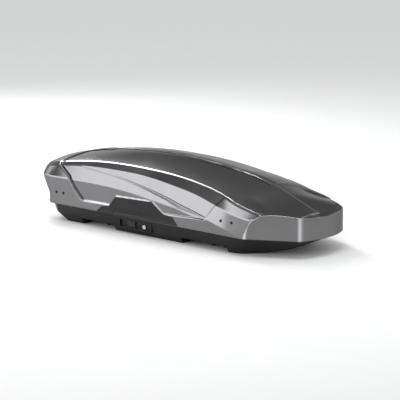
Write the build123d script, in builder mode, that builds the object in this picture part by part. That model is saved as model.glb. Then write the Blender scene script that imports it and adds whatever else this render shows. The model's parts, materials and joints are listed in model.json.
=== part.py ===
from build123d import *

import os

# Roof cargo box: a long, narrow hard-shell box for two roof crossbars.
# The lid opens from either long side. Two pairs of lifter arms carry it, a sliding lock rail on
# each side holds it shut, and four clamps inside the tub grip the crossbars. Millimetres, +X to
# the nose, -Y the near side, +Z up. The origin is the middle of the underside.

# Driving dimensions
length = 1900
half_width = 345
height = 440
parting = 100          # top of the base rim
lid_gap = 2            # between the base rim and the lid's lower edge
lid_wall = 4
base_wall = 4
recess = 5             # how far the middle panels sit below the end caps
pivot_z = 96           # height of the two pivot lines
pivot_y = 310          # distance of the two pivot lines from the middle
pin_r = 4
pin_play = 0.08
plate = 5              # thickness of the bracket plates
arm_width = 8
arm_spacing = 30       # between the two arms at one end, along the box
ring_gap = 3           # between a released lock ring and the tip of its pin
tunnel_top = 36        # roof of the two crossbar tunnels under the tub
tunnels = ((338, 590), (1095, 1430))
bar_stations = {"rear": 510, "front": 1310}     # crossbars, from the tail
deck = tunnel_top + base_wall      # tub floor above the tunnels
clamp_y = 215
jaw_x = 49             # from the crossbar's middle to each jaw's hinge
jaw_z = deck + 10
jaw_pin_r = 3
arm_stations = (280, 1352)         # lifter arms, from the tail
hook_stations = (420, 800, 1180)   # lock pins, from the tail
slider_x = 733
key_x = 831
lock_z = 60
lock_window = (640, 890)           # lock housings, from the tail
lock_height = (34, 86)
lock_depth = (308, 331)            # inner and outer face, from the middle
spine_width = 40                   # proud strip between the two roof panels
sides = {"near": -1, "far": 1}


def at(distance):
    """X of a place given by its distance from the tail."""
    return distance - length / 2


def rail(points):
    """Smooth curve through (distance, value) points, with slopes averaged at each point."""
    slopes = []
    for i in range(len(points)):
        before = points[max(i - 1, 0)]
        after = points[min(i + 1, len(points) - 1)]
        slopes.append((after[1] - before[1]) / (after[0] - before[0]))

    def value(x):
        i = 0
        while i < len(points) - 2 and x > points[i + 1][0]:
            i += 1
        (x0, v0), (x1, v1) = points[i], points[i + 1]
        span = x1 - x0
        t = min(max((x - x0) / span, 0), 1)
        rise = v1 - v0
        a = slopes[i] * span - rise
        b = rise - slopes[i + 1] * span
        return v0 + rise * t + t * (1 - t) * (a * (1 - t) + b * t)

    return value


# Lines that run along the lid: heights and distances from the middle, by distance from the tail
crown_z = rail([(0, 338), (110, 363), (270, 395), (500, 424), (800, height), (1040, 427),
                (1270, 403), (1400, 380), (1520, 346), (1640, 303), (1770, 250), (1830, 230),
                (length, 224)])
ridge_z = rail([(0, 316), (170, 350), (380, 378), (560, 390), (760, 391), (930, 385),
                (1080, 372), (1200, 355), (1380, 318), (1480, 289), (1620, 243), (1850, 232),
                (length, 219)])
ridge_y = rail([(0, 262), (400, 268), (1000, 268), (1200, 272), (1380, 290), (1500, 312), (length, 318)])
strip_z = rail([(0, 298), (200, 334), (414, 357), (720, 361), (870, 352), (1020, 332),
                (1206, 300), (1375, 252), (1480, 226), (1600, 208), (length, 200)])
strip_y = rail([(0, 302), (400, 312), (1000, 316), (1200, 317), (1380, 324), (1500, 333), (length, 340)])
crease_z = rail([(0, 262), (450, 262), (664, 252), (817, 236), (968, 216), (1112, 198),
                 (1300, 173), (1450, 130), (1570, 108), (length, 106)])

lid_stations = (0, 60, 130, 260, 420, 560, 680, 800, 920, 1060, 1200, 1320, 1420, 1500, 1580,
                1660, 1750, 1830, length)


def plan_points():
    """Corners of the box in plan: tail corner, front shoulder and nose corner on one side."""
    return [(0, 280), (20, 312), (110, half_width), (1565, half_width), (1590, 336), (1852, 195)]


def mirrored_pairs(points):
    """Closed outline from one side's (along, across) points."""
    one_side = [(at(x), -y) for x, y in points]
    other_side = [(at(x), y) for x, y in reversed(points)]
    return one_side, other_side


def lid_plan(inset):
    """Plan face of the lid, with a bowed front, drawn smaller by the inset."""
    one_side, other_side = mirrored_pairs(plan_points())
    with BuildSketch() as plan:
        with BuildLine():
            Polyline(*one_side)
            ThreePointArc(one_side[-1], (at(length), 0), other_side[0])
            Polyline(*other_side)
            Line(other_side[-1], one_side[0])
        make_face()
        if inset:
            offset(amount=-inset, kind=Kind.INTERSECTION)
    return plan.sketch


def lid_section(x, inset):
    """Closed section of the lid at one station, from the lower edge over the crown."""
    low = parting + lid_gap - (10 if inset else 0)
    one_side = [
        (-half_width + inset, low),
        (-half_width + inset, crease_z(x) - inset / 2),
        (-strip_y(x) + inset, strip_z(x) - inset / 2),
        (-ridge_y(x) + inset, ridge_z(x) - inset),
    ]
    other_side = [(-y, z) for y, z in reversed(one_side)]
    return one_side + [(0, crown_z(x) - inset)] + other_side


def lid_form(inset):
    """Solid form of the lid, drawn smaller by the inset on every face but the lower one."""
    with BuildPart() as form:
        for x in lid_stations:
            with BuildSketch(Plane.YZ.offset(at(x))):
                with BuildLine():
                    Polyline(*lid_section(x, inset), close=True)
                make_face()
        loft(ruled=True)
        extrude(lid_plan(inset), amount=height + 20, mode=Mode.INTERSECT)
        with BuildSketch(Plane.XZ):
            with BuildLine():
                Polyline((at(-20), 80), (at(-20), 322), (at(inset), 322), (at(14 + inset), 243),
                         (at(36 + inset), 193), (at(58 + inset), 148), (at(52 + inset), 80),
                         close=True)
            make_face()
        extrude(amount=half_width + 20, both=True, mode=Mode.SUBTRACT)
    return form.part


def panel_zone(grow):
    """Zone of the recessed middle panels, all across the lid but for the centre spine."""
    with BuildPart() as zone:
        with BuildSketch(Plane.XZ):
            with BuildLine():
                Polyline((at(118), 480), (at(136), 341), (at(259), 276), (at(312), 205),
                         (at(355), 161), (at(380), 152), (at(590), 155), (at(632), 212),
                         (at(905), 219), (at(990), 160), (at(1290), 172), (at(1354), 259),
                         (at(1402), 312), (at(1515), 348), (at(1560), 480), close=True)
            make_face()
            if grow:
                offset(amount=grow, kind=Kind.INTERSECTION)
        extrude(amount=half_width + 20, both=True)
        with BuildSketch(Plane.XY.offset(300)):
            Rectangle(2 * length, spine_width - 2 * grow)
        extrude(amount=200, mode=Mode.SUBTRACT)
    return zone.part


def tub_form(inset):
    """Solid form of the tub, drawn smaller by the inset on every face but the rim."""
    rim = [(64, 230), (84, 285), (150, 332), (1478, 332), (1560, 316), (1838, 186)]
    bilge = [(84, 230), (106, 283), (166, 326), (1472, 322), (1545, 298), (1740, 172)]
    keel = [(150, 215), (166, 265), (212, 298), (1450, 298), (1510, 285), (1610, 170)]
    with BuildPart() as form:
        for outline, nose, level in ((keel, 1650, inset), (bilge, 1765, 46), (rim, 1886, parting)):
            one_side, other_side = mirrored_pairs(outline)
            with BuildSketch(Plane.XY.offset(level)):
                with BuildLine():
                    Polyline(*one_side, (at(nose), 0), *other_side, close=True)
                make_face()
                if inset:
                    offset(amount=-inset, kind=Kind.INTERSECTION)
        loft(ruled=True)
        for start, stop in tunnels:
            with BuildSketch(Plane.XY):
                with Locations((at((start + stop) / 2), 0)):
                    Rectangle(stop - start + 2 * inset, 2 * half_width)
            extrude(amount=tunnel_top + inset, mode=Mode.SUBTRACT)
    return form.part


def block(x, y, z):
    """Box between two values along each axis, as a separate solid."""
    size = [high - low for low, high in (x, y, z)]
    centre = [(low + high) / 2 for low, high in (x, y, z)]
    return Pos(*centre) * Box(*size, mode=Mode.PRIVATE)


def across(side, inner, outer):
    """Y range on one side of the box, from its distances from the middle."""
    return sorted((side * inner, side * outer))


def rod_x(start, stop, y, z, radius):
    """Round rod along X."""
    middle = (start + stop) / 2
    return Pos(middle, y, z) * Rot(0, 90, 0) * Cylinder(radius, stop - start, mode=Mode.PRIVATE)


def rod_y(x, start, stop, z, radius):
    """Round rod along Y."""
    low, high = sorted((start, stop))
    return Pos(x, (low + high) / 2, z) * Rot(90, 0, 0) * Cylinder(radius, high - low, mode=Mode.PRIVATE)


def plate_x(start, points):
    """Flat plate across the box, one bracket plate thick, from its (y, z) outline."""
    with BuildPart() as plate_part:
        with BuildSketch(Plane.YZ.offset(start)):
            with BuildLine():
                Polyline(*points, close=True)
            make_face()
        extrude(amount=plate)
    return plate_part.part


def save(part, name):
    part.label = name
    export_step(part, f"parts/{name}.step")


os.makedirs("parts", exist_ok=True)


# Lid shell: end caps and skirt at full size, middle panels set in by the recess
outer_form = lid_form(0)
wall_form = lid_form(lid_wall)
panel_form = lid_form(lid_wall + recess)
panel_cut = panel_zone(0)
panel_backing = panel_zone(8)

with BuildPart() as panel_skin:
    add(wall_form)
    add(panel_form, mode=Mode.SUBTRACT)
    add(panel_backing, mode=Mode.INTERSECT)

with BuildPart() as lid_shell:
    add(outer_form)
    add(wall_form, mode=Mode.SUBTRACT)
    add(panel_cut, mode=Mode.SUBTRACT)
    add(panel_skin.part)
save(lid_shell.part, "lid_shell")


# Ribs bonded under the lid's top panels
with BuildPart() as lid_ribs:
    add(panel_form)
    add(lid_form(lid_wall + recess + 6), mode=Mode.SUBTRACT)
    with BuildSketch(Plane.XY.offset(250)):
        with Locations((at(620), 0), (at(1010), 0)):
            Rectangle(40, 480)
    extrude(amount=height, mode=Mode.INTERSECT)
save(lid_ribs.part, "lid_ribs")

# Tub: a thin shell with a window for each lock and slots for the clamp jaws
window_x = [at(x) for x in lock_window]

with BuildPart() as base_shell:
    add(tub_form(0))
    add(tub_form(base_wall), mode=Mode.SUBTRACT)
    for side in sides.values():
        add(block(window_x, across(side, *lock_depth), lock_height), mode=Mode.SUBTRACT)
        for bar in bar_stations.values():
            for turn in (-1, 1):
                slot = sorted((at(bar) + turn * 30, at(bar) + turn * 58))
                add(block(slot, across(side, 193, 237), (tunnel_top - 5, deck + 1)), mode=Mode.SUBTRACT)
save(base_shell.part, "base_shell")

# Rivet heads and plugs, seated on the lid's outer face
with BuildPart() as lid_rivets:
    for side in sides.values():
        for x, z, face in ((164, 173, 345), (219, 173, 345), (1407, 181, 336), (1484, 181, 332)):
            add(rod_y(at(x), side * (face - 13), side * (face + 2.5), z, 7))
    add(outer_form, mode=Mode.SUBTRACT)
save(lid_rivets.part, "lid_rivets")

with BuildPart() as nose_plugs:
    for y, top in ((60, 257), (118, 253)):
        with Locations((at(1750), y, top - 10)):
            Cylinder(7, 20)
    add(outer_form, mode=Mode.SUBTRACT)
save(nose_plugs.part, "nose_plugs")


def lid_bracket(side, start):
    """Bracket that hangs inside the lid's skirt and reaches round the tub's rim to a pivot line."""
    wall = half_width - lid_wall
    outline = [(pivot_y - 5, pivot_z), (pivot_y + 5, pivot_z), (pivot_y + 5, 122), (wall, 122),
               (wall, 134), (pivot_y - 5, 134)]
    bracket = plate_x(start, [(side * y, z) for y, z in outline])
    return bracket + rod_x(start, start + plate, side * pivot_y, pivot_z, 8)


for name, side in sides.items():
    y = side * pivot_y
    # Black handle plate on the lid's skirt, with a shallow grip
    with BuildPart() as handle_plate:
        with BuildSketch(Plane.XZ.offset(-side * half_width)):
            with BuildLine():
                Polyline((at(478), 104), (at(518), 139), (at(577), 150), (at(627), 210),
                         (at(904), 217), (at(988), 160), (at(1058), 152), (at(1100), 106),
                         close=True)
            make_face()
        extrude(amount=-side * 4)
        add(block((at(641), at(866)), across(side, 346.5, 349), (110, 141)), mode=Mode.SUBTRACT)
    save(handle_plate.part, f"handle_plate_{name}")

    # Lid brackets: three lock pins, and one pin at each end for a lifter arm
    with BuildPart() as lid_brackets:
        for station in hook_stations:
            start = at(station)
            add(lid_bracket(side, start))
            add(rod_x(start + plate, start + 24, y, pivot_z, pin_r))
        for station in arm_stations:
            start = at(station)
            if side < 0:
                add(lid_bracket(side, start - plate - 2))
                add(rod_x(start - 2, start + arm_width + 1, y, pivot_z, pin_r))
            else:
                last = start + arm_spacing + arm_width
                add(lid_bracket(side, last + 2))
                add(rod_x(last - arm_width - 1, last + 2, y, pivot_z, pin_r))
    save(lid_brackets.part, f"lid_brackets_{name}")

    # Tub brackets: the fixed pivot of the lifter arm that swings from this side
    with BuildPart() as tub_brackets:
        for station, floor in zip(arm_stations, (base_wall, deck)):
            start = at(station)
            first = start - plate - 2 if side > 0 else start + arm_spacing + arm_width + 2
            web = [(side * 250, floor), (side * 288, floor), (side * 316, 90), (side * 303, 90)]
            add(plate_x(first, web))
            add(rod_x(first, first + plate, y, pivot_z, 10))
            if side > 0:
                add(rod_x(start - 2, start + arm_width + 1, y, pivot_z, pin_r))
            else:
                add(rod_x(start + arm_spacing - 1, first, y, pivot_z, pin_r))
    save(tub_brackets.part, f"tub_brackets_{name}")

    # Lifter arms that swing from this side's fixed pivot to the lid's pin on the other side
    with BuildPart() as lifter_arms:
        for station in arm_stations:
            start = at(station) if side > 0 else at(station) + arm_spacing
            stop = start + arm_width
            add(block((start, stop), (-pivot_y, pivot_y), (pivot_z - 8, pivot_z + 8)))
            for end in (-pivot_y, pivot_y):
                add(rod_x(start, stop, end, pivot_z, 11))
            for end in (-pivot_y, pivot_y):
                add(rod_x(start - 1, stop + 1, end, pivot_z, pin_r + pin_play), mode=Mode.SUBTRACT)
    save(lifter_arms.part, f"{name}_lifter_arms")

    # Lock housing in the tub's window: a pocket with a slot for the slider and a bore for the key
    with BuildPart() as lock_housing:
        add(block(window_x, across(side, *lock_depth), lock_height))
        pocket_x = (window_x[0] + 8, window_x[1] - 8)
        add(block(pocket_x, across(side, 317, 331), (40, 80)), mode=Mode.SUBTRACT)
        add(block((at(slider_x - 31), at(slider_x + 10)), across(side, 308, 317),
                  (lock_z - 6, lock_z + 6)), mode=Mode.SUBTRACT)
        add(rod_y(at(key_x), side * 308, side * 317, lock_z - 4, 9.05), mode=Mode.SUBTRACT)
    save(lock_housing.part, f"lock_housing_{name}")

    with BuildPart() as lock_slider:
        add(block((at(slider_x - 26), at(slider_x + 27)), across(side, 317.3, 327),
                  (lock_z - 16, lock_z + 16)))
        for x in (-18, -9, 0, 9, 18):
            add(block((at(slider_x + x - 1.5), at(slider_x + x + 1.5)), across(side, 325.5, 327),
                      (lock_z - 12, lock_z + 12)), mode=Mode.SUBTRACT)
        add(block((at(slider_x - 8), at(slider_x + 8)), across(side, 298, 317.3),
                  (lock_z - 5.7, lock_z + 5.7)))
    save(lock_slider.part, f"lock_slider_{name}")

    with BuildPart() as lock_rail:
        add(block((at(400), at(1240)), across(side, 294, 298), (58, 74)))
        for station in hook_stations:
            start = at(station) + 24 + ring_gap
            add(block((start, start + 14), across(side, 294, 305), (70, pivot_z)))
            add(rod_x(start, start + 14, y, pivot_z, 8))
            add(rod_x(start - 1, start + 15, y, pivot_z, pin_r + 0.3), mode=Mode.SUBTRACT)
    save(lock_rail.part, f"lock_rail_{name}")

    with BuildPart() as key_cylinder:
        add(rod_y(at(key_x), side * 304, side * 317.3, lock_z - 4, 9))
        add(rod_y(at(key_x), side * 317.3, side * 326, lock_z - 4, 12))
        add(block((at(key_x - 1.2), at(key_x + 1.2)), across(side, 320, 326),
                  (lock_z - 10, lock_z + 2)), mode=Mode.SUBTRACT)
    save(key_cylinder.part, f"key_cylinder_{name}")

    with BuildPart() as lock_cam:
        add(block((at(key_x - 6), at(key_x + 6)), across(side, 301, 304), (lock_z - 26, lock_z + 3)))
    save(lock_cam.part, f"lock_cam_{name}")

    with BuildPart() as floor_rail:
        add(block((at(345), at(1422)), across(side, 160, 184), (deck, deck + 5)))
    save(floor_rail.part, f"floor_rail_{name}")

    for end, bar in bar_stations.items():
        middle = at(bar)
        # Clamp housing on the tunnel's roof, with a hinge pin for each jaw
        with BuildPart() as clamp_body:
            add(block((middle - 66, middle + 66), across(side, 186, 244), (deck, deck + 24)))
            add(block((middle - 30, middle + 30), across(side, 162, 186), (deck + 5, deck + 12)))
            for turn in (-1, 1):
                slot = sorted((middle + turn * 30, middle + turn * 58))
                add(block(slot, across(side, 193, 237), (deck, deck + 18)), mode=Mode.SUBTRACT)
                add(rod_y(middle + turn * jaw_x, side * 190, side * 240, jaw_z, jaw_pin_r))
            with Locations((middle, side * clamp_y, deck + 12)):
                Cylinder(5 + pin_play, 30, mode=Mode.SUBTRACT)
        save(clamp_body.part, f"clamp_body_{end}_{name}")

        # Knob with its spindle
        with BuildPart() as clamp_knob:
            with BuildSketch(Plane.XY.offset(deck + 26)):
                with Locations((middle, side * clamp_y)):
                    Circle(20)
                    with PolarLocations(20, 6):
                        Circle(7)
            extrude(amount=22)
            fillet(clamp_knob.faces().sort_by(Axis.Z)[-1].edges(), 3)
            with Locations((middle, side * clamp_y, deck + 14)):
                Cylinder(5, 24)
        save(clamp_knob.part, f"clamp_knob_{end}_{name}")

        for hand, turn in (("back", -1), ("fore", 1)):
            hinge = middle + turn * jaw_x
            with BuildPart() as clamp_jaw:
                add(block(sorted((hinge - 3 * turn, hinge + 3 * turn)), across(side, 195, 235),
                          (2, jaw_z)))
                add(block(sorted((hinge - 15 * turn, hinge + 3 * turn)), across(side, 195, 235),
                          (2, 7)))
                add(rod_y(hinge, side * 195, side * 235, jaw_z, 6))
                add(rod_y(hinge, side * 194, side * 236, jaw_z, jaw_pin_r + pin_play),
                    mode=Mode.SUBTRACT)
            save(clamp_jaw.part, f"clamp_jaw_{hand}_{end}_{name}")

# Rubber pads between the tunnels' roofs and the crossbars
with BuildPart() as bar_pads:
    for side in sides.values():
        for bar in bar_stations.values():
            add(block((at(bar) - 28, at(bar) + 28), across(side, 180, 250), (tunnel_top - 3, tunnel_top)))
save(bar_pads.part, "bar_pads")
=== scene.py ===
import json
import math

import bpy
import numpy as np
from mathutils import Matrix, Vector


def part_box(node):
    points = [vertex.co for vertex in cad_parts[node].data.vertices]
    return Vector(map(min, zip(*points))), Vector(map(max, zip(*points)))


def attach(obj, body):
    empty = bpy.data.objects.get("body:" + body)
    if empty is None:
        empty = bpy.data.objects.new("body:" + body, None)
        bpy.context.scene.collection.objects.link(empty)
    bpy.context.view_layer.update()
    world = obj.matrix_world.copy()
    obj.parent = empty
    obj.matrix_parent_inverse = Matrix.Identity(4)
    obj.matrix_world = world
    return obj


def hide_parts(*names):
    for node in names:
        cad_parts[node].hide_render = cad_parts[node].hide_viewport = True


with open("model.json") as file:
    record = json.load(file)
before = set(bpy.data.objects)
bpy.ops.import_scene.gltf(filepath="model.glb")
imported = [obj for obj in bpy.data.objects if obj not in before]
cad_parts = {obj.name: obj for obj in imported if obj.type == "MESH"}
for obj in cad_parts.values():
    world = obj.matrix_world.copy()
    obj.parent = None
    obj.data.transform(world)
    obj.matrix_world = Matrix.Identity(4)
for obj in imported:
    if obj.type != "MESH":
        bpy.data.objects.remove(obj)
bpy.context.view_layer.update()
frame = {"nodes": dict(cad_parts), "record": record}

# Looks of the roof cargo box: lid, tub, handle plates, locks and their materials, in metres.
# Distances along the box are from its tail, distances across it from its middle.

nodes = frame["nodes"]
lid_low, lid_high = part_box("lid_shell")
tail_x = lid_low.x
length = lid_high.x - lid_low.x
half_width = lid_high.y
lid_edge = lid_low.z
sides = {"near": -1, "far": 1}


def rail(*points):
    """Smooth curve through (distance from the tail, value) points, for arrays of distances."""
    xs, values = np.array(points, float).T
    before = np.r_[0, np.arange(len(xs) - 1)]
    after = np.r_[np.arange(1, len(xs)), len(xs) - 1]
    slopes = (values[after] - values[before]) / (xs[after] - xs[before])

    def value(x):
        x = np.asarray(x, float)
        i = np.clip(np.searchsorted(xs, x, side="right") - 1, 0, len(xs) - 2)
        span = xs[i + 1] - xs[i]
        t = np.clip((x - xs[i]) / span, 0, 1)
        rise = values[i + 1] - values[i]
        a = slopes[i] * span - rise
        b = rise - slopes[i + 1] * span
        return values[i] + rise * t + t * (1 - t) * (a * (1 - t) + b * t)

    return value


def smooth(low, high, value):
    """0 below low, 1 above high, eased between them."""
    t = np.clip((value - low) / (high - low), 0, 1)
    return t * t * (3 - 2 * t)


def bell(distance, width):
    """1 on a line and 0 beyond the width."""
    return 1 - smooth(0, width, np.abs(distance))


# Lines along the lid: heights and distances from the middle
crown_z = rail((0, .338), (.11, .363), (.27, .395), (.5, .424), (.8, .4395), (1.04, .427), (1.27, .403),
               (1.4, .38), (1.52, .346), (1.64, .303), (1.77, .25), (1.83, .23), (1.9, .224))
ridge_z = rail((0, .316), (.17, .35), (.38, .378), (.56, .39), (.76, .391), (.93, .385), (1.08, .372),
               (1.2, .355), (1.38, .318), (1.48, .289), (1.62, .243), (1.85, .232), (1.9, .219))
ridge_y = rail((0, .262), (.4, .268), (1, .268), (1.2, .272), (1.38, .29), (1.5, .312), (1.9, .318))
strip_z = rail((0, .298), (.2, .334), (.414, .357), (.72, .361), (.87, .352), (1.02, .332), (1.206, .3),
               (1.375, .252), (1.48, .226), (1.6, .208), (1.9, .2))
strip_y = rail((0, .302), (.4, .312), (1, .316), (1.2, .317), (1.38, .324), (1.5, .333), (1.9, .34))
crease_z = rail((0, .262), (.45, .262), (.664, .252), (.817, .236), (.968, .216), (1.112, .198),
                (1.3, .173), (1.45, .13), (1.57, .108), (1.9, .106))

# How far the tail's face leans in, by height
tail_lean = rail((.08, .052), (.148, .058), (.193, .036), (.243, .014), (.322, 0), (.45, 0))

# Fold in the flank: its height, how far down it takes to ease back, and its depth
fold_z = rail((.2, .344), (.3, .348), (.43, .341), (.65, .319), (.82, .291), (.99, .257), (1.11, .226),
              (1.2, .205), (1.36, .165))
fold_drop = rail((.2, .006), (.8, .008), (1, .018), (1.15, .03), (1.3, .034))
fold_depth = rail((.14, .0002), (.4, .0008), (.7, .0014), (1, .0035), (1.3, .006))

# Plan of the lid, and the rounding of its edges
nose_radius = .42
nose_start = 1.858          # from here the plan is an arc
plan_x = [0, .006, .02, .06, .1, .13, 1.556, 1.576, 1.59, 1.842, nose_start]
plan_y = [.28, .3, .312, .333, .342, half_width, half_width, .3425, .335, .2, .186]
tail_end = .13              # up to here the whole section narrows with the plan
ridge_limit = .96           # largest share of the half width at which the ridge may lie
strip_limit = .985          # and the flank's upper edge
top_hump = .022             # bow of the roof across the box, in the heights that roof_z gives
wall_cut = .005             # rounding of the side wall's upper edge
nose_cut = .01              # and on the nose
strip_cut = .004
ridge_cut = .0065
roof_bulge = .006           # and in the mesh, between the ridge and the crown
tail_round = .009
lid_wall = .004

# The nose's side corner leans forward as it rises
corner_height = .14
corner_lean = .05
lean_middle = 1.6           # place of the greatest lean
corner_foot = 1.577
corner_slant = .048         # lean of the line drawn along the corner
bow_corner = 1.8495         # the corner at the start of the arc
nose_rim_start = 1.6

# Panels set in behind an open groove at the tail, with a proud spine between them
panel_outline = [(.118, .48), (.136, .341), (.259, .276), (.312, .205), (.355, .161), (.38, .152),
                 (.59, .155), (.632, .212), (.905, .219), (.99, .16), (1.29, .172), (1.354, .259),
                 (1.402, .312), (1.515, .348), (1.56, .48)]
rear_edges = 5              # edges of that outline, from its first point, that are the open groove
spine_half = rail((.118, .017), (.5, .02), (1, .021), (1.515, .011))
panel_depth = .005
groove_depth = .006
groove_width = .013
seam_width = .016
seam_depth = .001
front_gap_depth = .003
front_gap_half = .0045

# Raised near half of the nose: from its start to the line between these points
blade_start = 1.515
blade_tip = (1.831, 0)
blade_corner = (1.852, -.195)

# Steps between the rows of points of one half of the lid's section, from its lower edge up
wall_steps = 24
corner_steps = 4
flank_steps = 34
strip_steps = 3
shoulder_steps = 7
ridge_steps = 4
wall_count = wall_steps + corner_steps // 2     # the row where the side wall ends
ridge_row = wall_steps + corner_steps + flank_steps + strip_steps + shoulder_steps + ridge_steps // 2


def plan_width(x):
    """Half width of the lid in plan."""
    bow = np.sqrt(np.maximum(nose_radius ** 2 - (x - length + nose_radius) ** 2, 0))
    return np.where(x > nose_start, bow, np.interp(x, plan_x, plan_y))


def roof_z(x, y):
    """Height of the lid's upper surface, before its edges are rounded."""
    ridge, strip = ridge_y(x), strip_y(x)
    share = np.clip(y / ridge, 0, 1)
    top = crown_z(x) + (ridge_z(x) - crown_z(x)) * share + top_hump * share * (1 - share)
    shoulder = ridge_z(x) + (strip_z(x) - ridge_z(x)) * (y - ridge) / (strip - ridge)
    flank = strip_z(x) + (crease_z(x) - strip_z(x)) * (y - strip) / (half_width - strip)
    return np.where(y < ridge, top, np.where(y < strip, shoulder, flank))


def round_corner(before, corner, after, cut, count, flat=0):
    """Points of a rounded corner, count + 1 of them. A flat of 1 makes it a plain chamfer."""
    one, two = before - corner, after - corner
    long_one, long_two = (np.linalg.norm(v, axis=1, keepdims=True) for v in (one, two))
    reach = np.minimum(cut, .45 * np.minimum(long_one, long_two))
    start, stop = corner + one / long_one * reach, corner + two / long_two * reach
    t = np.linspace(0, 1, count + 1)[:, None, None]
    curve = start * (1 - t) ** 2 + 2 * corner * t * (1 - t) + stop * t ** 2
    return curve * (1 - flat) + (start * (1 - t) + stop * t) * flat


def run(start, stop, shares):
    """Points between two rows of points, ends left out."""
    return start + (stop - start) * np.asarray(shares)[:, None, None]


def evenly(count):
    """Shares that part a run into equal steps, ends left out."""
    return np.arange(1, count) / count


# Rows of the roof from the ridge to the crown, closer together beside the spine
roof_shares = np.r_[evenly(34) * .84, .84, .87, .895, .915, .93, .943, .954, .965, .976, .988]


def half_section(x):
    """Section of one half of the lid at each station, lower edge to middle: (point, station, yz)."""
    squeeze = np.where(x < tail_end, plan_width(x) / half_width, 1)
    wide = np.where(x < tail_end, half_width, plan_width(x))
    low_cut = (wall_cut + (nose_cut - wall_cut) * smooth(1.55, 1.65, x))[:, None]
    ridge = np.minimum(ridge_y(x), wide * ridge_limit)
    strip = np.minimum(strip_y(x), wide * strip_limit)
    places = [(wide, np.full_like(x, lid_edge)), (wide, roof_z(x, wide)), (strip, roof_z(x, strip)),
              (ridge, roof_z(x, ridge)), (0 * x, crown_z(x))]
    foot, wall_top, strip_line, ridge_line, crown = (np.stack(p, axis=1) for p in places)
    low_corner = round_corner(foot, wall_top, strip_line, low_cut, corner_steps, .5)
    strip_corner = round_corner(wall_top, strip_line, ridge_line, strip_cut, strip_steps)
    ridge_corner = round_corner(strip_line, ridge_line, crown, ridge_cut, ridge_steps, .75)
    roof = run(ridge_corner[-1], crown, roof_shares)
    bulge = 4 * roof_bulge * (roof_shares * (1 - roof_shares))[:, None] * (wide > .1)
    roof[:, :, 1] += bulge
    section = np.concatenate([
        foot[None], run(foot, low_corner[0], evenly(wall_steps)), low_corner,
        run(low_corner[-1], strip_corner[0], evenly(flank_steps)), strip_corner,
        run(strip_corner[-1], ridge_corner[0], evenly(shoulder_steps)), ridge_corner, roof, crown[None]])
    section[:, :, 0] *= squeeze
    return section


def lid_stations():
    """Distances from the tail at which the lid has a ring of points, closer together at both ends."""
    tail = [0, .002, .005, .009, .014, .02, .028, .036, .046, .06, .074, .088, .1, .11]
    middle = np.arange(.116, 1.484, .0062)
    front = np.arange(1.488, 1.836, .0058)
    corner = [1.84, 1.846, 1.852, nose_start]
    bow = np.sqrt(nose_radius ** 2 - np.linspace(.172, .03, 13) ** 2) + length - nose_radius
    return np.r_[tail, middle, front, corner, bow]


def outline_distance(x, z, outline):
    """Distance to the nearest edge of an outline, positive inside, and that edge's number."""
    best = np.full(x.shape, 1e9)
    edge = np.zeros(x.shape, int)
    inside = np.zeros(x.shape, bool)
    for i, (a, b) in enumerate(zip(outline, outline[1:] + outline[:1])):
        dx, dz = b[0] - a[0], b[1] - a[1]
        t = np.clip(((x - a[0]) * dx + (z - a[1]) * dz) / (dx * dx + dz * dz), 0, 1)
        gap = np.hypot(x - a[0] - t * dx, z - a[1] - t * dz)
        edge = np.where(gap < best, i, edge)
        best = np.minimum(best, gap)
        crosses = (a[1] > z) != (b[1] > z)
        inside ^= crosses & (x < dx * (z - a[1]) / (dz if dz else 1e-9) + a[0])
    return np.where(inside, best, -best), edge


def grid_faces(columns, rows):
    """Quads of a grid of points numbered column by column."""
    i, j = np.meshgrid(np.arange(columns - 1), np.arange(rows - 1), indexing="ij")
    a = (i * rows + j).ravel()
    return np.stack([a, a + rows, a + rows + 1, a + 1], axis=1)


def new_object(name, points, faces, body=None):
    """A smooth-shaded mesh object, riding on a body if one is given."""
    mesh = bpy.data.meshes.new(name)
    mesh.from_pydata([tuple(p) for p in points], [], [tuple(int(i) for i in f) for f in faces])
    mesh.update()
    mesh.shade_smooth()
    made = bpy.data.objects.new(name, mesh)
    bpy.context.scene.collection.objects.link(made)
    if body:
        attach(made, body)
    return made


def paint(obj, name, values):
    """Keeps one number for each point of a mesh, for its material to read."""
    attribute = obj.data.attributes.new(name, "FLOAT", "POINT")
    attribute.data.foreach_set("value", np.asarray(values, np.float32))


def add_end_wall(points, faces, x, ring, base, flip):
    """Closes a ring of the lid's points, numbered from base, with a wall down to the lower edge."""
    first, last = wall_count, len(ring) - 1 - wall_count
    shares = (ring[:first + 1, 1] - lid_edge) / (ring[first, 1] - lid_edge)
    number = {}
    for k in range(first, last + 1):
        y, top = ring[k]
        for j in range(first + 1):
            if k == first:
                number[k, j] = base + j
            elif k == last:
                number[k, j] = base + len(ring) - 1 - j
            elif j == first:
                number[k, j] = base + k
            else:
                number[k, j] = len(points)
                points.append((x, y, lid_edge + (top - lid_edge) * shares[j]))
    for k in range(first, last):
        for j in range(first):
            quad = (number[k, j], number[k, j + 1], number[k + 1, j + 1], number[k + 1, j])
            faces.append(quad[::-1] if flip else quad)


def lid_grid(x):
    """Points and faces of the plain lid, and each point's row in the half section, or -1."""
    near = half_section(x) * [-1, 1]
    far = near[::-1][1:] * [-1, 1]
    rings = np.concatenate([near, far]).transpose(1, 0, 2)
    count = rings.shape[1]
    along = np.broadcast_to(x[:, None, None], (len(x), count, 1))
    points = list(np.concatenate([along, rings], axis=2).reshape(-1, 3))
    faces = [tuple(f) for f in grid_faces(len(x), count)]
    rows = np.tile(np.arange(count), len(x))
    last = len(x) - 1
    add_end_wall(points, faces, x[0], rings[0], 0, False)
    add_end_wall(points, faces, x[last], rings[last], last * count, True)
    row = np.full(len(points), -1)
    row[:len(rows)] = np.minimum(rows, count - 1 - rows)
    return np.array(points), faces, row


def corner_rise(z):
    """How much of its lean the nose's side corner has at a height."""
    return np.clip((z - lid_edge) / corner_height, 0, 1.1) ** 2


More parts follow.
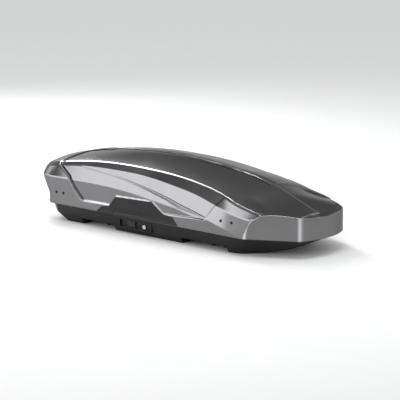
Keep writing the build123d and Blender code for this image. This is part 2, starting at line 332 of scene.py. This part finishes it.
def shape_ends(d, y, z):
    """Rounds the tail's upper edge, leans the tail's face in and the nose's side corners forward."""
    over = np.clip(1 - d / tail_round, 0, 1)
    z = z - tail_round * (1 - np.sqrt(1 - over ** 2)) * smooth(.22, .3, z)
    d = d + np.maximum(tail_lean(z), 0) * (1 - smooth(0, .16, d))
    near_corner = (1 - smooth(0, .12, np.abs(d - lean_middle))) * smooth(.2, .3, np.abs(y))
    return d + corner_lean * corner_rise(z) * near_corner, y, z


def panel_relief(d, y, z):
    """Depth of the panels and gaps, their painted shade in the gaps and painted highlight along the
    ledge, the distance inside them, the groove.
    """
    inside, edge = outline_distance(d, z, panel_outline)
    front = smooth(1.2, 1.34, d)
    spine = np.abs(y) - spine_half(d)
    off_spine = smooth(-.003, .001, spine)
    sunk = smooth(-.002, .003, inside) * off_spine
    in_groove = smooth(-.001, .002, inside) * (1 - smooth(groove_width - .004, groove_width, inside))
    groove = (edge < rear_edges) * in_groove * off_spine
    front_gap = front * bell(inside, front_gap_half) * off_spine * (np.abs(y) > .26)
    seams = smooth(-.004, 0, spine) * (1 - smooth(seam_width - .004, seam_width, spine)) * (inside > 0)
    # Painted highlight along the ledge under the panels on the flank
    ledge_painted_highlight = .4 * bell(inside + .001, .0045) * (np.abs(y) > .3) * (edge >= rear_edges) * (1 - front)
    depth = (panel_depth * sunk * (1 - .6 * front) + groove_depth * groove + seam_depth * seams
             + front_gap_depth * front_gap)
    # Painted shade in the groove, the seams beside the spine and the gap at the panels' front
    gap = groove + .95 * seams * (1 - .5 * front) + .9 * front_gap
    return depth, gap, ledge_painted_highlight, inside, groove


def fold_relief(d, y, z, inside):
    """Depth of the fold in the flank: a step down that eases back below."""
    fold = fold_z(d)
    under = np.clip((fold - z) / fold_drop(d), 0, 1)
    share = np.where(z < fold, 1 - under, 1 - smooth(0, .005, z - fold))
    on_flank = smooth(.27, .3, np.abs(y)) * smooth(.14, .2, d) * (1 - smooth(1.27, 1.3, d)) * (inside > 0)
    return fold_depth(d) * share * on_flank


def nose_relief(d, y, row):
    """Depth of the ground beside and ahead of the nose's raised half, and a painted highlight along that
    half's edges.
    """
    along = (y - blade_tip[1]) / (blade_corner[1] - blade_tip[1])
    ahead = d - (blade_tip[0] + along * (blade_corner[0] - blade_tip[0]))
    on_blade = (1 - smooth(-.0005, .0025, y)) * (1 - smooth(-.003, .002, ahead))
    on_top = (row > wall_count) * smooth(blade_start - .01, blade_start + .01, d)
    lower = .0015 + .003 * smooth(-.004, .004, ahead)
    # Painted highlight along the raised half's side and front edges
    side_edge = bell(y - .0015, .006) * (d > blade_start) * (d < blade_tip[0])
    end_edge = bell(ahead, .006) * (y < .002) * (d > nose_rim_start)
    return lower * (1 - on_blade) * on_top, (side_edge + end_edge) * (row > wall_count)


def painted_edge_highlights(d, z, row, groove):
    """Painted highlights along the ridge, the nose's rim and the nose's corners."""
    on_skin = row >= 0
    low_wall = on_skin & (row <= wall_count) & (d > 1.5)
    nose_rim = bell(row - wall_count + .5, 1.8) * (d > nose_rim_start) * on_skin
    side_line = bell(d - (corner_foot + corner_slant * corner_rise(z)), .013)
    corners = (side_line + .8 * bell(d - bow_corner, .013)) * low_wall
    ridge = .4 * bell(row - ridge_row, 2.2) * (d < 1.62) * on_skin * (groove < .1)
    return nose_rim + corners + ridge


def make_lid():
    """The lid's skin in place of the CAD lid, with its relief, its painted shade and highlights and a
    wall of its own.
    """
    points, faces, row = lid_grid(lid_stations())
    d, y, z = shape_ends(*points.T)
    shape = np.stack([tail_x + d, y, z], axis=1)
    lid = new_object("lid_panels", shape, faces, "lid")
    normals = np.zeros(len(shape) * 3)
    lid.data.vertex_normals.foreach_get("vector", normals)
    normals = normals.reshape(-1, 3)

    panels, gap, ledge_painted_highlight, inside, groove = panel_relief(d, y, z)
    nose, blade_painted_highlight = nose_relief(d, y, row)
    depth = panels + fold_relief(d, y, z, inside) + nose
    shape = shape - normals * depth[:, None]
    lid.data.vertices.foreach_set("co", shape.ravel())
    lid.data.update()
    # Painted shade darkens the groove, seams and front gap; painted highlights brighten the ridge, the
    # ledge, the nose's rim, its corners and its raised half's edges
    paint(lid, "gap", np.clip(gap, 0, 1))
    paint(lid, "painted_highlight", np.clip(ledge_painted_highlight + blade_painted_highlight + painted_edge_highlights(d, z, row, groove), 0, 1))

    wall = lid.modifiers.new("wall", "SOLIDIFY")
    wall.thickness = lid_wall
    wall.offset = -1
    wall.thickness_clamp = 1     # thinner where the nose's points lie close together
    wall.material_offset = 1
    wall.material_offset_rim = 0
    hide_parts("lid_shell")
    lid.data.materials.append(finish["lid_silver"])
    lid.data.materials.append(finish["inner_grey"])


# Fixings, by distance from the tail
rivet_places = ((.164, .173), (.219, .173), (1.407, .181), (1.484, .181))    # and height
plug_place = 1.75
plug_sides = (.06, .118)
head_radius = .0085
head_rise = .003
plug_sink = .0045           # how far the foot of the plugs' heads lies below the plain roof


def flank_y(x, z):
    """Distance of the lid's flank from the middle, at one place along it and one height."""
    low, high = float(crease_z(x)), float(strip_z(x))
    share = min(max((z - low) / (high - low), 0), 1)
    return half_width + (float(strip_y(x)) - half_width) * share


def dome(place, normal, radius, rise):
    """Rings of points of a domed head on a surface, and its faces."""
    normal = Vector(normal).normalized()
    across = normal.orthogonal().normalized()
    other = normal.cross(across)
    profile = [(1, -2), (1, .25), (.93, .62), (.72, .86), (.4, .98)]
    points, faces, ring_size = [], [], 20
    for share, up in profile:
        for i in range(ring_size):
            turn = 2 * math.pi * i / ring_size
            out = across * math.cos(turn) + other * math.sin(turn)
            points.append(Vector(place) + out * radius * share + normal * rise * up)
    for k in range(len(profile) - 1):
        for i in range(ring_size):
            j = (i + 1) % ring_size
            low, high = k * ring_size, (k + 1) * ring_size
            faces.append((low + i, low + j, high + j, high + i))
    points.append(Vector(place) + normal * rise)
    top = (len(profile) - 1) * ring_size
    faces += [(top + i, top + (i + 1) % ring_size, len(points) - 1) for i in range(ring_size)]
    faces.append(tuple(range(ring_size - 1, -1, -1)))
    return points, faces


def domes(name, places, slot, stands_for):
    """One piece of the lid made of several domed heads: places are (place, normal)."""
    points, faces = [], []
    for place, normal in places:
        more, new = dome(place, normal, head_radius, head_rise)
        faces += [tuple(i + len(points) for i in f) for f in new]
        points += more
    made = new_object(name, points, faces, "lid")
    made.data.materials.append(finish[slot])
    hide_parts(stands_for)


def make_fixings():
    """Rivet heads near both ends of both sides, and two plugs on the far half of the nose."""
    rivets = []
    for side in sides.values():
        for x, z in rivet_places:
            y = flank_y(x, z)
            tilt = (flank_y(x, z - .01) - flank_y(x, z + .01)) / .02
            rivets.append(((tail_x + x, side * y, z), (0, side, tilt)))
    domes("rivet_heads", rivets, "rivet_black", "lid_rivets")
    plugs = []
    for y in plug_sides:
        x, e = plug_place, .01
        z, fore, out = (float(roof_z(a, b)) for a, b in ((x, y), (x + e, y), (x, y + e)))
        plugs.append(((tail_x + x, y, z - plug_sink), (z - fore, z - out, e)))
    domes("nose_plug_heads", plugs, "control_black", "nose_plugs")


# Outlines of the handle plate and of its grip: distance from the tail, and height
plate_top = [(.478, .104), (.518, .139), (.577, .15), (.627, .21), (.904, .217), (.988, .16),
             (1.058, .152), (1.1, .106)]
grip_outline = [(.605, .112), (.628, .142), (.85, .144), (.872, .112)]
plate_roll = .005           # rounding of the plate's edges
border_rise = .0011         # how far the plate's border stands above its middle
grip_drop = .0022
grip_lip = .0008
plate_clearance = .0004     # kept inside the CAD plate's face
plate_wall = .0012


def make_handle_plate(name, side):
    """Black plate on the lid's skirt: rolled edges, a raised upper border and a grip hollow."""
    low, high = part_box(f"handle_plate_{name}")
    x = np.linspace(plate_top[0][0], plate_top[-1][0], 150)
    top = np.interp(x, *np.array(plate_top).T)
    shares = np.r_[0, np.linspace(.01, .99, 44), 1]
    z = low.z + (top[:, None] - low.z) * shares
    xx = np.broadcast_to(x[:, None], z.shape)
    edge, _ = outline_distance(xx, z, plate_top)
    grip, _ = outline_distance(xx, z, grip_outline)
    thick = high.y - low.y
    roll = np.clip(np.minimum(edge, z - low.z) / plate_roll, 0, 1)
    height = thick * np.sqrt(1 - (1 - roll) ** 2)
    lift = height - border_rise * smooth(.009, .013, edge) - grip_drop * smooth(-.0015, .003, grip)
    lift = lift + grip_lip * bell(grip + .003, .003)
    lift = np.clip(lift, 0, thick) - plate_clearance
    base = low.y if side > 0 else high.y
    points = np.stack([tail_x + xx, base + side * lift, z], axis=-1).reshape(-1, 3)
    faces = grid_faces(*z.shape)
    if side > 0:
        faces = faces[:, ::-1]
    made = new_object(f"handle_cover_{name}", points, faces, "lid")
    wall = made.modifiers.new("wall", "SOLIDIFY")
    wall.thickness = plate_wall
    wall.offset = -1
    made.data.materials.append(finish["trim_black"])
    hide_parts(f"handle_plate_{name}")


# Materials
def shader(name, colour, rough, metal=0.0, grain=900, bump=.05, spread=.25, coat=0.0, attributes=(),
           specular=.5):
    """Moulded or painted finish: fine grain, patches of slightly other colour, and gloss that varies."""
    made = bpy.data.materials.new(name)
    made.use_nodes = True
    tree = made.node_tree
    link = tree.links.new
    body = tree.nodes["Principled BSDF"]
    body.inputs["Metallic"].default_value = metal
    body.inputs["Coat Weight"].default_value = coat
    body.inputs["Coat Roughness"].default_value = .08
    body.inputs["Specular IOR Level"].default_value = specular
    if metal:
        body.inputs["Specular Tint"].default_value = (.4, .4, .4, 1)
    place = tree.nodes.new("ShaderNodeTexCoord")
    cloud = tree.nodes.new("ShaderNodeTexNoise")
    cloud.inputs["Scale"].default_value = 7
    cloud.inputs["Detail"].default_value = 5
    fine = tree.nodes.new("ShaderNodeTexNoise")
    fine.inputs["Scale"].default_value = grain
    fine.inputs["Detail"].default_value = 3
    for texture in (cloud, fine):
        link(place.outputs["Object"], texture.inputs["Vector"])
    tint = tree.nodes.new("ShaderNodeValToRGB")
    tint.color_ramp.elements[0].position = .3
    tint.color_ramp.elements[1].position = .7
    tint.color_ramp.elements[0].color = (*[c * (1 - spread / 2) for c in colour], 1)
    tint.color_ramp.elements[1].color = (*[c * (1 + spread / 2) for c in colour], 1)
    mixed = tree.nodes.new("ShaderNodeMath")
    mixed.operation = "MULTIPLY_ADD"
    link(fine.outputs["Fac"], mixed.inputs[0])
    mixed.inputs[1].default_value = .5
    link(cloud.outputs["Fac"], mixed.inputs[2])
    shift = tree.nodes.new("ShaderNodeMath")
    shift.operation = "SUBTRACT"
    link(mixed.outputs[0], shift.inputs[0])
    shift.inputs[1].default_value = .25
    link(shift.outputs[0], tint.inputs["Fac"])
    colour_now = tint.outputs["Color"]
    # Colours mixed in by point attributes; on the lid these are painted shade and painted highlights
    for attribute, other, amount in attributes:
        reader = tree.nodes.new("ShaderNodeAttribute")
        reader.attribute_name = attribute
        scale = tree.nodes.new("ShaderNodeMath")
        scale.operation = "MULTIPLY"
        link(reader.outputs["Fac"], scale.inputs[0])
        scale.inputs[1].default_value = amount
        mix = tree.nodes.new("ShaderNodeMix")
        mix.data_type = "RGBA"
        link(scale.outputs[0], mix.inputs["Factor"])
        link(colour_now, mix.inputs["A"])
        mix.inputs["B"].default_value = (*other, 1)
        colour_now = mix.outputs["Result"]
    link(colour_now, body.inputs["Base Color"])
    gloss = tree.nodes.new("ShaderNodeMapRange")
    gloss.inputs["To Min"].default_value = rough * .85
    gloss.inputs["To Max"].default_value = min(1, rough * 1.2)
    link(cloud.outputs["Fac"], gloss.inputs["Value"])
    link(gloss.outputs["Result"], body.inputs["Roughness"])
    relief = tree.nodes.new("ShaderNodeBump")
    relief.inputs["Strength"].default_value = bump
    relief.inputs["Distance"].default_value = .0005
    link(fine.outputs["Fac"], relief.inputs["Height"])
    link(relief.outputs["Normal"], body.inputs["Normal"])
    return made


# Painted shade for the lid's grooves and seams, and a painted highlight colour for its edges
gap_painted_shade = ("gap", (.01, .01, .011), .95)
painted_highlight_colour = ("painted_highlight", (.75, .75, .76), .8)
finish = {
    "lid_silver": shader("lid_silver_paint", (.16, .16, .163), .2, metal=.92, grain=1600, bump=.008,
                         spread=.08, coat=.15, attributes=(gap_painted_shade, painted_highlight_colour)),
    "inner_grey": shader("inner_grey_plastic", (.16, .16, .165), .6, grain=700, bump=.2),
    "tub_black": shader("tub_black_plastic", (.013, .013, .014), .5, grain=600, bump=.35, specular=.22),
    "trim_black": shader("trim_black_plastic", (.011, .011, .012), .36, bump=.15, specular=.22),
    "control_black": shader("control_black_plastic", (.035, .035, .036), .4, bump=.12, specular=.22),
    "clamp_black": shader("clamp_black_plastic", (.015, .015, .016), .48, grain=800, bump=.2,
                          specular=.22),
    "pad_rubber": shader("pad_rubber", (.012, .012, .012), .75, grain=500, bump=.4),
    "rivet_black": shader("rivet_black", (.003, .003, .003), .55, specular=.2),
    "key_metal": shader("key_metal", (.6, .6, .6), .25, metal=1, grain=1200, bump=.08),
    "bracket_steel": shader("bracket_steel", (.3, .3, .31), .38, metal=1, grain=1100, bump=.12),
}
edge_bevel = .0009          # rounding of the CAD nodes' edges


def finish_nodes():
    """Gives each CAD node that still shows the finish of its slot in the record."""
    node_slots = {part["node"]: part["material_slot"] for part in frame["record"]["subparts"]}
    for name, obj in nodes.items():
        wanted = finish[node_slots.get(name, "tub_black")]
        for used in obj.material_slots:
            used.material = wanted
        if not obj.material_slots:
            obj.data.materials.append(wanted)
        soften(obj)


def soften(obj):
    """Small rounded edges on a CAD node, by modifiers."""
    weld = obj.modifiers.new("weld", "WELD")
    weld.merge_threshold = .00002
    bevel = obj.modifiers.new("edges", "BEVEL")
    bevel.width = edge_bevel
    bevel.segments = 2
    bevel.limit_method = "ANGLE"
    bevel.angle_limit = math.radians(32)


make_lid()
make_fixings()
for name, side in sides.items():
    make_handle_plate(name, side)
finish_nodes()


# Studio: floor, lights and camera
def area_light(name, place, target, size, power):
    """A rectangular lamp facing a target."""
    data = bpy.data.lights.new(name, "AREA")
    data.shape = "RECTANGLE"
    data.size, data.size_y = size
    data.energy = power
    lamp = bpy.data.objects.new(name, data)
    lamp.location = place
    lamp.rotation_euler = (Vector(target) - Vector(place)).to_track_quat("-Z", "Y").to_euler()
    bpy.context.scene.collection.objects.link(lamp)


floor = new_object("floor", [(-30, -30, 0), (30, -30, 0), (30, 30, 0), (-30, 30, 0)], [(0, 1, 2, 3)])
floor.data.materials.append(shader("floor_paper", (.86, .86, .86), .9, grain=300, bump=.02, spread=.01))


# Dark flags around the box: direction, cosines of the inner and outer edge, and brightness left
flags = (((-.507, .604, .616), .95, .86, .3),
         ((-.785, -.07, .616), .95, .87, .4),
         ((-.5, -.48, .72), .93, .85, .42))


def make_world():
    """Pale surroundings with dark flags, which the roof and its shoulders reflect."""
    world = bpy.data.worlds.new("studio")
    bpy.context.scene.world = world
    world.use_nodes = True
    tree = world.node_tree
    link = tree.links.new
    place = tree.nodes.new("ShaderNodeTexCoord")
    level = None
    for direction, inner, outer, dark in flags:
        dot = tree.nodes.new("ShaderNodeVectorMath")
        dot.operation = "DOT_PRODUCT"
        link(place.outputs["Generated"], dot.inputs[0])
        dot.inputs[1].default_value = direction
        flag = tree.nodes.new("ShaderNodeMapRange")
        flag.interpolation_type = "SMOOTHSTEP"
        link(dot.outputs["Value"], flag.inputs["Value"])
        flag.inputs["From Min"].default_value = outer
        flag.inputs["From Max"].default_value = inner
        flag.inputs["To Min"].default_value = 1
        flag.inputs["To Max"].default_value = dark
        if level is None:
            level = flag.outputs["Result"]
        else:
            both = tree.nodes.new("ShaderNodeMath")
            both.operation = "MULTIPLY"
            link(level, both.inputs[0])
            link(flag.outputs["Result"], both.inputs[1])
            level = both.outputs[0]
    seen = tree.nodes.new("ShaderNodeLightPath")
    plain = tree.nodes.new("ShaderNodeMath")
    plain.operation = "MAXIMUM"
    link(level, plain.inputs[0])
    link(seen.outputs["Is Camera Ray"], plain.inputs[1])
    link(plain.outputs[0], tree.nodes["Background"].inputs["Strength"])
    tree.nodes["Background"].inputs["Color"].default_value = (.93, .935, .94, 1)


def strip_light(name, start, stop, target, width, power):
    """A long lamp between two points, facing the target."""
    start, stop = Vector(start), Vector(stop)
    area_light(name, (start + stop) / 2, target, ((stop - start).length, width), power)
    lamp = bpy.data.objects[name]
    back = (lamp.location - Vector(target)).normalized()
    along = (stop - start).normalized()
    up = back.cross(along).normalized()
    along = up.cross(back)
    lamp.rotation_euler = Matrix((along, up, back)).transposed().to_euler()


make_world()
area_light("key", (-3.5, -3.9, 1.35), (0, -.2, .2), (5, 2.1), 102)
area_light("key_end", (-5.5, -1, 1.35), (0, -.2, .2), (2.4, 2.1), 40)
strip_light("strip", (-3.9, 2.05, 1.75), (-.9, .3, 4.1), (0, -.27, .35), .3, 110)
area_light("overhead", (.9, -.9, 4.2), (0, 0, .2), (1.6, 1.6), 45)
bpy.context.scene.view_settings.view_transform = "Standard"

camera_data = bpy.data.cameras.new("camera")
camera_data.lens = 216
camera_data.sensor_width = 36
camera_data.clip_end = 100
camera = bpy.data.objects.new("camera", camera_data)
camera.location = (8.726, -10.272, 3.135)
camera.rotation_euler = (math.radians(77.625), 0, math.radians(40.278))
bpy.context.scene.collection.objects.link(camera)
bpy.context.scene.camera = camera
